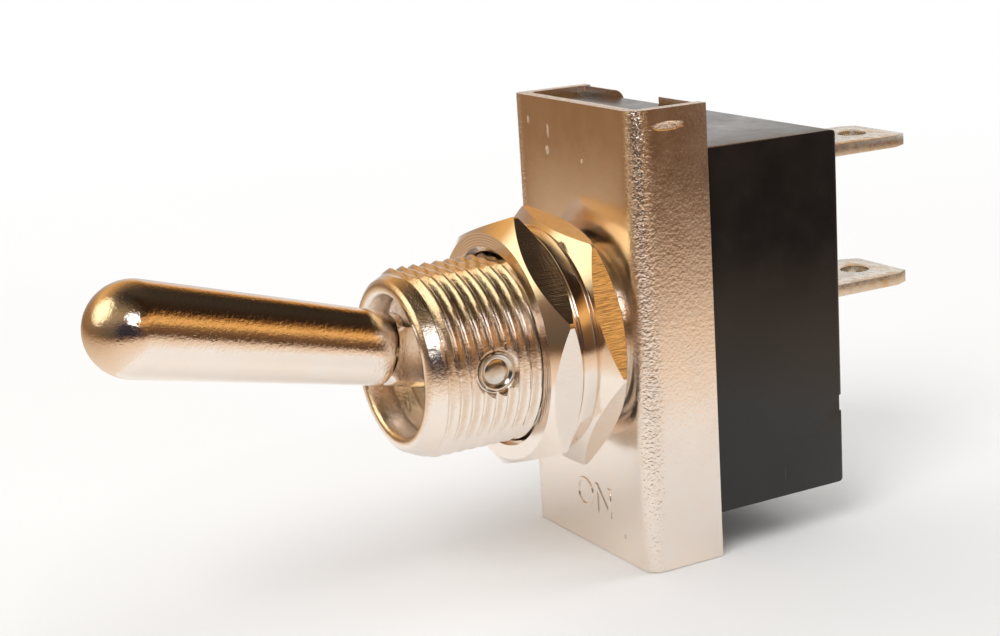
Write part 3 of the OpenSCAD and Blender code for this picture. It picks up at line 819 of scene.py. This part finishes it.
# %% [markdown]
# ## Folded frame
# The frame is one strip of sheet with both long sides bent back and four tabs
# folded in behind the housing. The solid already has the bends. What is missing
# is the soft edge that shearing and plating leave, so a merged copy gets a small
# bevel on every sharp edge. The two long bends also differ: a press folds one
# side tighter than the other. Moving the points of each outer arc, at the same
# angle round the bend, redraws it with its own radius and leaves the rest alone.

# %% Folded frame
BEND = 1.2  # outer radius of both long bends in the solid
LEFT_BEND, RIGHT_BEND = 0.5, 1.0


def tighten_bend(piece, side, radius):
    """Redraw the outer arc of one long bend with a smaller radius."""
    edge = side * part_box("frame")[1].x / MM
    for v in piece.data.vertices:
        x, y = v.co.x / MM, v.co.y / MM
        from_edge = (edge - x) * side
        if from_edge > BEND + 1e-3 or y > BEND + 1e-3:
            continue
        reach = math.hypot(BEND - from_edge, BEND - y)
        if reach < BEND - 0.2:
            continue
        c, s = (BEND - from_edge) / reach, (BEND - y) / reach
        inset = BEND - reach
        nx = radius * (1 - c) + inset * c
        ny = radius * (1 - s) + inset * s
        v.co.x = (edge - side * nx) * MM
        v.co.y = ny * MM
    piece.data.update()


folded = eased_copy("folded_frame", "frame", 0.17, 3, 32)
tighten_bend(folded, -1, LEFT_BEND)
tighten_bend(folded, 1, RIGHT_BEND)
wear(folded, "switch_base", frame_finish.material, "frame_plate", "frame")

# %% [markdown]
# ## Stamped word
# A plain word stands on the lower end of the plate, where the lever points when
# the switch is on. Letters cut into the frame's mesh would need many more faces,
# so they are a thin text with a soft edge, laid on the plate in the same finish.


# %% Stamped word
def make_stamp(word, size, x, z):
    """Stamped letters that stand just proud of the plate."""
    curve = bpy.data.curves.new("stamp", "FONT")
    curve.body = word
    curve.size = size * MM
    curve.align_x = "CENTER"
    curve.align_y = "CENTER"
    curve.extrude = 0.03 * MM
    curve.bevel_depth = 0.035 * MM
    curve.bevel_resolution = 2
    curve.offset = -0.03 * MM
    curve.resolution_u = 6
    text = bpy.data.objects.new("stamp", curve)
    bpy.context.collection.objects.link(text)
    bpy.context.view_layer.update()
    graph = bpy.context.evaluated_depsgraph_get()
    mesh = bpy.data.meshes.new_from_object(text.evaluated_get(graph))
    mesh.transform(Matrix.Translation(Vector((x, -0.005, z)) * MM)
                   @ Matrix.Rotation(math.radians(90), 4, "X"))
    bpy.data.objects.remove(text)
    stamp = bpy.data.objects.new("stamped_word", mesh)
    bpy.context.collection.objects.link(stamp)
    return stamp


stamp = make_stamp("ON", 2.9, 0.4, -11.3)
wear(stamp, "switch_base", frame_finish.material, "frame_plate")
print("stamped word faces:", len(stamp.data.polygons))

# %% [markdown]
# ## Housing and blades
# The moulding and the strip parts have simple shapes, so the solids carry them.
# Their copies get a small bevel, finer on punched strip than on moulded corners,
# because a knife-sharp edge never catches the light the way a real one does.

# %% Housing and strip parts
moulding = eased_copy("moulded_housing", "housing", 0.10, 2, 35)
wear(moulding, "switch_base", housing_finish.material, "housing_moulding", "housing")
for node, title in (("end_terminal", "end_blade"), ("common_terminal", "common_blade")):
    blade = eased_copy(title, node, 0.06, 2, 35)
    wear(blade, "switch_base", blade_finish.material, "terminal_strip", node)

# %% [markdown]
# ## Plunger spring with Geometry Nodes
# A coil follows a rule, so a small node tree makes it: a spiral curve, a circle
# carried along it, and a material. The tree has named inputs for the wire and the
# coil, which makes it easy to try a stiffer spring. The result is turned into a
# plain mesh, because the modifier would otherwise stay live on the piece.


# %% Coil spring tree
def coil_tree():
    tree = bpy.data.node_groups.new("coil_spring", "GeometryNodeTree")
    face = tree.interface
    face.new_socket("Geometry", in_out="OUTPUT", socket_type="NodeSocketGeometry")
    sizes = {}
    for title, value in (("Coil Radius", 0.0009), ("Free Height", 0.004), ("Wire", 0.00036)):
        s = face.new_socket(title, in_out="INPUT", socket_type="NodeSocketFloat")
        s.default_value = value
        sizes[title] = s.identifier
    s = face.new_socket("Turns", in_out="INPUT", socket_type="NodeSocketFloat")
    s.default_value = 7.0
    sizes["Turns"] = s.identifier
    n = tree.nodes
    given, out = n.new("NodeGroupInput"), n.new("NodeGroupOutput")
    spiral, ring = n.new("GeometryNodeCurveSpiral"), n.new("GeometryNodeCurvePrimitiveCircle")
    half, sweep = n.new("ShaderNodeMath"), n.new("GeometryNodeCurveToMesh")
    real, paint = n.new("GeometryNodeRealizeInstances"), n.new("GeometryNodeSetMaterial")
    smooth = n.new("GeometryNodeSetShadeSmooth")
    half.operation = "MULTIPLY"
    half.inputs[1].default_value = 0.5
    spiral.inputs["Resolution"].default_value = 40
    ring.inputs["Resolution"].default_value = 16
    sweep.inputs["Fill Caps"].default_value = True
    paint.inputs["Material"].default_value = wire_finish.material
    link = tree.links.new
    link(given.outputs["Turns"], spiral.inputs["Rotations"])
    link(given.outputs["Coil Radius"], spiral.inputs["Start Radius"])
    link(given.outputs["Coil Radius"], spiral.inputs["End Radius"])
    link(given.outputs["Free Height"], spiral.inputs["Height"])
    link(given.outputs["Wire"], half.inputs[0])
    link(half.outputs[0], ring.inputs["Radius"])
    link(spiral.outputs[0], sweep.inputs["Curve"])
    link(ring.outputs["Curve"], sweep.inputs["Profile Curve"])
    link(sweep.outputs[0], smooth.inputs[0])
    link(smooth.outputs[0], real.inputs[0])
    link(real.outputs[0], paint.inputs[0])
    link(paint.outputs[0], out.inputs[0])
    return tree, sizes


def make_spring(radius, height, wire, turns, place):
    tree, sizes = coil_tree()
    holder = bpy.data.objects.new("coil_holder", bpy.data.meshes.new("coil_holder"))
    bpy.context.collection.objects.link(holder)
    nodes = holder.modifiers.new("coil", "NODES")
    nodes.node_group = tree
    for title, value in (("Coil Radius", radius), ("Free Height", height),
                         ("Wire", wire), ("Turns", turns)):
        nodes[sizes[title]] = value
    bpy.context.view_layer.update()
    graph = bpy.context.evaluated_depsgraph_get()
    mesh = bpy.data.meshes.new_from_object(holder.evaluated_get(graph))
    bpy.data.objects.remove(holder)
    mesh.transform(place)
    spring = bpy.data.objects.new("coil_spring", mesh)
    bpy.context.collection.objects.link(spring)
    return spring


inner_end, outer_end = -3.83, -7.97  # along the lever, behind the pivot
spring_place = (Matrix.Translation(Vector((0, -PIVOT, 0)) * MM)
                @ Matrix.Rotation(math.radians(90 - THROW), 4, "X")
                @ Matrix.Translation(Vector((0, 0, outer_end)) * MM))
spring = make_spring(0.89 * MM, (inner_end - outer_end) * MM, 0.36 * MM, 7.0, spring_place)
wear(spring, "lever", wire_finish.material, "spring_wire", "plunger_spring")
print("spring triangles about", len(spring.data.polygons) * 2)

# %% [markdown]
# ## The pieces that stay as solids
# The plunger, the rocker, its contacts and the fibre sheet sit inside the housing.
# Their solids are already right, so each only gets its finish in the material
# slot of its own object.

# %% Finishes on the inner solids
for node, finish in (("plunger", nylon_finish), ("rocker", copper_finish),
                     ("moving_contact", silver_finish), ("fixed_contact", silver_finish),
                     ("insulating_sheet", fibre_finish)):
    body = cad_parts[node]
    for k in range(max(1, len(body.material_slots))):
        if body.material_slots:
            body.material_slots[k].material = finish.material
        else:
            body.data.materials.append(finish.material)
print("inner pieces dressed")

# %% [markdown]
# ## Floor and background
# Small metal parts are shown on white so that nothing competes with them. The
# floor is a pale sheet just under the lowest point. Seen by the camera, by
# mirrors and through glass, the air behind it is plain white, and the object
# keeps its soft shadow on the floor.

# %% Floor and world
FLOOR_AT = cad_box[0].z - 0.05 * MM


def make_floor():
    bm = bmesh.new()
    bmesh.ops.create_circle(bm, cap_ends=True, radius=3000, segments=96)
    floor = finish_mesh("floor", bm)
    floor.data.transform(Matrix.Translation((0, 0, FLOOR_AT)))
    f = Finish("pale_floor", 0.0, 0.9)
    patchy = f.span(f.noise(60, 2.0), 0.3, 0.7, 0.0, 1.0)
    f.colour(f.blend(patchy, (0.93, 0.93, 0.93), (0.95, 0.95, 0.95)))
    away = f.node("ShaderNodeVectorMath", operation="LENGTH")
    f.join(f.place, away.inputs[0])
    path = f.node("ShaderNodeLightPath")
    seen = f.maths("MAXIMUM", f.maths("MAXIMUM", path.outputs["Is Camera Ray"],
                                      path.outputs["Is Glossy Ray"]),
                   path.outputs["Is Transmission Ray"])
    beyond = f.span(away.outputs["Value"], 0.05, 0.20, 0.0, 1.0, smooth=True)
    far = f.maths("MULTIPLY", seen, beyond)
    white = f.node("ShaderNodeEmission")
    white.inputs["Color"].default_value = (1, 1, 1, 1)
    either = f.node("ShaderNodeMixShader")
    f.join(far, either.inputs[0])
    f.join(f.shader.outputs[0], either.inputs[1])
    f.join(white.outputs[0], either.inputs[2])
    f.join(either.outputs[0], f.tree.nodes["Material Output"].inputs["Surface"])
    floor.data.materials.append(f.material)


make_floor()

world = bpy.data.worlds.new("studio")
bpy.context.scene.world = world
world.use_nodes = True
nodes, links = world.node_tree.nodes, world.node_tree.links
nodes.clear()
out = nodes.new("ShaderNodeOutputWorld")
plain = nodes.new("ShaderNodeBackground")
plain.inputs["Color"].default_value = (1.0, 0.99, 0.98, 1)
plain.inputs["Strength"].default_value = 0.55
white = nodes.new("ShaderNodeBackground")
white.inputs["Color"].default_value = (1, 1, 1, 1)
white.inputs["Strength"].default_value = 1.0
path = nodes.new("ShaderNodeLightPath")
seen = nodes.new("ShaderNodeMath")
seen.operation = "MAXIMUM"
seen_too = nodes.new("ShaderNodeMath")
seen_too.operation = "MAXIMUM"
mix = nodes.new("ShaderNodeMixShader")
links.new(path.outputs["Is Camera Ray"], seen.inputs[0])
links.new(path.outputs["Is Glossy Ray"], seen.inputs[1])
links.new(seen.outputs[0], seen_too.inputs[0])
links.new(path.outputs["Is Transmission Ray"], seen_too.inputs[1])
links.new(seen_too.outputs[0], mix.inputs[0])
links.new(plain.outputs[0], mix.inputs[1])
links.new(white.outputs[0], mix.inputs[2])
links.new(mix.outputs[0], out.inputs["Surface"])
print("floor and world made")

# %% [markdown]
# ## Painted reflections for the metal to mirror
# Polished metal has no look of its own: it shows the room. In an all-white room
# it would be a white shape. A studio would stand warm and dark cards around the
# set, out of view; here one glowing bowl paints those reflections instead. It
# starts a few centimetres from the switch and rises over it, pale on the table,
# gold and brown at the sides and dark overhead. It glows but is no lamp: only
# mirror rays see it, so it tints no shadow and no matt surface.

# %% Colours of the painted reflections
# each list of painted reflection is (height as the sine of the elevation, colour), seen from the
# switch
FRONT_PAINTED_REFLECTION = ((0.0, (0.10, 0.075, 0.05)), (0.29, (0.18, 0.12, 0.08)), (0.53, (0.36, 0.25, 0.15)),
              (0.73, (0.36, 0.25, 0.14)), (0.88, (0.20, 0.14, 0.08)), (0.97, (0.05, 0.04, 0.03)))
RIGHT_PAINTED_REFLECTION = ((0.0, (0.12, 0.06, 0.03)), (0.24, (0.22, 0.11, 0.045)), (0.35, (0.80, 0.42, 0.13)),
              (0.46, (0.95, 0.52, 0.16)), (0.55, (0.42, 0.18, 0.05)), (0.65, (0.03, 0.015, 0.007)))
BACK_PAINTED_REFLECTION = ((0.0, (1, 1, 1)), (0.33, (1, 1, 1)), (0.39, (0.92, 0.56, 0.20)),
             (0.45, (0.82, 0.32, 0.04)), (0.52, (0.30, 0.11, 0.02)),
             (0.58, (0.015, 0.01, 0.006)), (0.90, (0.06, 0.045, 0.03)))
LEFT_PAINTED_REFLECTION = ((0.0, (0.26, 0.14, 0.065)), (0.29, (0.36, 0.20, 0.09)), (0.53, (0.85, 0.48, 0.16)),
             (0.73, (0.50, 0.28, 0.11)), (0.88, (0.14, 0.09, 0.05)), (1.0, (0.03, 0.02, 0.015)))
# and these are (distance in metres, colour) of the painted reflection along the table
TABLE = ((0.036, (0.96, 0.86, 0.77)), (0.046, (0.91, 0.75, 0.61)), (0.062, (0.86, 0.66, 0.50)),
         (0.079, (0.79, 0.59, 0.44)), (0.092, (0.67, 0.48, 0.33)), (0.104, (0.52, 0.36, 0.23)),
         (0.118, (0.35, 0.22, 0.13)), (0.134, (0.29, 0.17, 0.11)), (0.152, (0.19, 0.11, 0.06)),
         (0.175, (0.075, 0.036, 0.015)), (0.19, (0.08, 0.04, 0.02)))
LEFT_TABLE = ((0.036, (0.92, 0.78, 0.64)), (0.06, (0.74, 0.56, 0.40)), (0.09, (0.58, 0.41, 0.26)),
              (0.12, (0.46, 0.30, 0.18)), (0.145, (0.41, 0.26, 0.15)), (0.17, (0.35, 0.21, 0.115)),
              (0.19, (0.28, 0.155, 0.075)))
# and the spots are (azimuth, elevation, radius, soft edge, colour): a painted dark reflection and
# a painted highlight
PAINTED_SPOTS = ((-32, 6, 12, 24, (0.035, 0.03, 0.04)), (-112, 36, 12, 16, (1.6, 1.35, 0.85)))
print("card colours:", sum(map(len, (FRONT_PAINTED_REFLECTION, RIGHT_PAINTED_REFLECTION, BACK_PAINTED_REFLECTION, LEFT_PAINTED_REFLECTION))))

# %% [markdown]
# ## The glowing bowl that carries the painted reflections
# Four separate planes would show their edges in every curved surface. The bowl
# has no edges: its material works out the direction of each point, blends the
# four lists of painted reflection by compass direction and lays the painted spots
# over them. Its level brim lies on the table and takes its painted colour from the
# distance instead.


# %% Reflection bowl
def stepped(f, value, stops):
    """A colour ramp from a list of places and colours."""
    low, high = stops[0][0], stops[-1][0]
    made = f.node("ShaderNodeValToRGB")
    f.join(f.span(value, low, high, 0.0, 1.0), made.inputs[0])
    band = made.color_ramp
    while len(band.elements) < len(stops):
        band.elements.new(0.5)
    for element, (at, colour) in zip(band.elements, stops):
        element.position = (at - low) / (high - low)
        element.color = (*colour, 1)
    return made.outputs[0]


def toward(f, direction, azimuth, elevation=0.0):
    """1 where the direction points at the azimuth (from +X to +Y) and elevation."""
    a, e = math.radians(azimuth), math.radians(elevation)
    dot = f.node("ShaderNodeVectorMath", operation="DOT_PRODUCT")
    f.join(direction, dot.inputs[0])
    dot.inputs[1].default_value = (math.cos(a) * math.cos(e), math.sin(a) * math.cos(e),
                                   math.sin(e))
    return dot.outputs["Value"]


def make_bowl():
    side = [(36, 0.3), (70, 0.4), (120, 0.5), (190, 0.7), (260, 16), (420, 110), (520, 260),
            (470, 420), (300, 540), (0, 590)]
    bm = bmesh.new()
    lathe_into(bm, side, 96)
    bowl = finish_mesh("painted_reflection_bowl", bm, Matrix.Translation((0, 0, FLOOR_AT / MM)))
    # an emission material: the bowl glows to paint the reflections and lights nothing
    f = Finish("painted_reflections", 0.0, 1.0)
    ray = f.node("ShaderNodeVectorMath", operation="NORMALIZE")
    f.join(f.place, ray.inputs[0])
    ray = ray.outputs[0]
    level = f.node("ShaderNodeVectorMath", operation="MULTIPLY")
    f.join(f.place, level.inputs[0])
    level.inputs[1].default_value = (1, 1, 0)
    compass = f.node("ShaderNodeVectorMath", operation="NORMALIZE")
    f.join(level.outputs[0], compass.inputs[0])
    compass = compass.outputs[0]
    reach = f.node("ShaderNodeVectorMath", operation="LENGTH")
    f.join(level.outputs[0], reach.inputs[0])
    height = f.node("ShaderNodeSeparateXYZ")
    f.join(ray, height.inputs[0])
    rise = height.outputs["Z"]
    front, right = toward(f, compass, -60), toward(f, compass, 30)
    along_view = f.blend(f.span(front, -0.05, 0.05, 0, 1), stepped(f, rise, BACK_PAINTED_REFLECTION),
                         stepped(f, rise, FRONT_PAINTED_REFLECTION))
    sideways = f.blend(f.span(right, -0.05, 0.05, 0, 1), stepped(f, rise, LEFT_PAINTED_REFLECTION),
                       stepped(f, rise, RIGHT_PAINTED_REFLECTION))
    # painted reflection colours of the four sides, blended by compass direction
    painted_mirror_colour = f.blend(f.maths("MULTIPLY", front, front), sideways, along_view)
    # lay the painted dark reflection and the painted highlight over the painted reflections
    for azimuth, elevation, wide, soft, colour in PAINTED_SPOTS:
        inside, outside = math.cos(math.radians(wide)), math.cos(math.radians(wide + soft))
        spot = f.span(toward(f, ray, azimuth, elevation), outside, inside, 0, 1, smooth=True)
        painted_mirror_colour = f.blend(spot, painted_mirror_colour, colour)
    away = reach.outputs["Value"]
    # painted reflection of the table, coloured by distance
    table = f.blend(f.span(toward(f, compass, -135), 0.2, 0.9, 0, 1, smooth=True),
                    stepped(f, away, TABLE), stepped(f, away, LEFT_TABLE))
    behind = f.span(toward(f, compass, 152), 0.78, 0.95, 0, 1, smooth=True)
    table = f.blend(behind, table, (1, 1, 1))
    lift = f.span(f.axis("Z"), FLOOR_AT + 1.0 * MM, FLOOR_AT + 9.0 * MM, 0, 1, smooth=True)
    glow = f.node("ShaderNodeEmission")
    f.join(f.blend(lift, table, painted_mirror_colour), glow.inputs["Color"])
    f.join(glow.outputs[0], f.tree.nodes["Material Output"].inputs["Surface"])
    f.tree.nodes.remove(f.shader)
    bowl.data.materials.append(f.material)
    bowl.visible_camera = False
    bowl.visible_diffuse = False
    bowl.visible_shadow = False
    bowl.visible_transmission = False
    print("bowl nodes:", len(f.tree.nodes))


make_bowl()

# %% [markdown]
# ## A glowing card for painted highlights
# Crests, grains and the ball each show one small cool highlight. A lamp would
# also light the matt parts, so a round card over the camera glows to paint these
# highlights, and only mirror rays see it.


# %% Glowing card for painted highlights
GLINT_RADIUS = 23
GLINT_ABOVE = 47  # over the camera, both in mm


def make_glint():
    """A round glowing card above the camera that paints highlights on crests and grains."""
    bm = bmesh.new()
    bmesh.ops.create_circle(bm, cap_ends=True, radius=GLINT_RADIUS, segments=48)
    right, up, back = lens_axes()
    at = CAMERA_AT / MM + up * GLINT_ABOVE
    aim = Matrix((right, up, back)).transposed().to_4x4()
    glint = finish_mesh("painted_highlight_card", bm, Matrix.Translation(at) @ aim)
    f = Finish("painted_highlight_card", 0.0, 1.0)
    # the card glows to paint highlights; it is no lamp
    glow = f.node("ShaderNodeEmission")
    glow.inputs["Color"].default_value = (0.94, 0.97, 1.0, 1)
    glow.inputs["Strength"].default_value = 4.5
    f.join(glow.outputs[0], f.tree.nodes["Material Output"].inputs["Surface"])
    f.tree.nodes.remove(f.shader)
    glint.data.materials.append(f.material)
    glint.visible_camera = glint.visible_diffuse = False
    glint.visible_shadow = glint.visible_transmission = False
    print("glint card:", GLINT_RADIUS * 2, "mm across")


make_glint()

# %% [markdown]
# ## Soft lamps
# Three wide lamps give the moulding its shape and lay a soft shadow on the floor.
# They are large and plain, so that a colour shows about as it was set. Mirrors
# don't see them, because the metal already shows the painted reflections of the glowing bowl.


# %% Lamps
def soft_lamp(name, at, size, power, colour):
    data = bpy.data.lights.new(name, "AREA")
    data.shape = "DISK"
    data.size = size
    data.energy = power
    data.color = colour
    lamp = bpy.data.objects.new(name, data)
    lamp.location = at
    lamp.rotation_euler = (Vector((0, 0, 0)) - Vector(at)).to_track_quat("-Z", "Y").to_euler()
    lamp.visible_glossy = False
    bpy.context.collection.objects.link(lamp)


soft_lamp("key", (0.25, -0.35, 0.45), 0.35, 1.5, (1.0, 0.99, 0.98))
soft_lamp("fill", (-0.45, -0.15, 0.30), 0.45, 0.8, (1.0, 0.99, 0.98))
soft_lamp("rim", (0.10, 0.45, 0.35), 0.35, 0.8, (1.0, 0.99, 0.98))
print("lamps placed")

# %% [markdown]
# ## Last setting
# The view transform is Standard, so white stays white.

# %% View transform
scene = bpy.context.scene
scene.view_settings.view_transform = "Standard"
